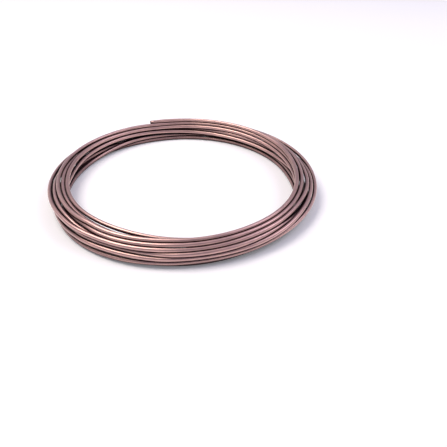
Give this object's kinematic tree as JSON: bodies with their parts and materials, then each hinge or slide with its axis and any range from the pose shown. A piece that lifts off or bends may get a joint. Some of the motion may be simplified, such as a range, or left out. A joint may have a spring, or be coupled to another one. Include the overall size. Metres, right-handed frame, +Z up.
{
  "type": "copper tube coil",
  "caption": "Coil of small bare copper alloy tube, its round turns stacked and leaning into a flat ring, one cut end free on top; stock for cutting and bending lines.",
  "frame": {"origin": "on the floor under the coil's axis", "axes": "+Z up along the coil's axis; +Y from the picture's near side to its far side, +X to the picture's right"},
  "size_m": [0.32, 0.32, 0.0292],
  "materials": {
    "tube": "satin drawn copper alloy, bare"
  },
  "bodies": {
    "root": {"tube_coil": "tube"}
  },
  "joints": []
}
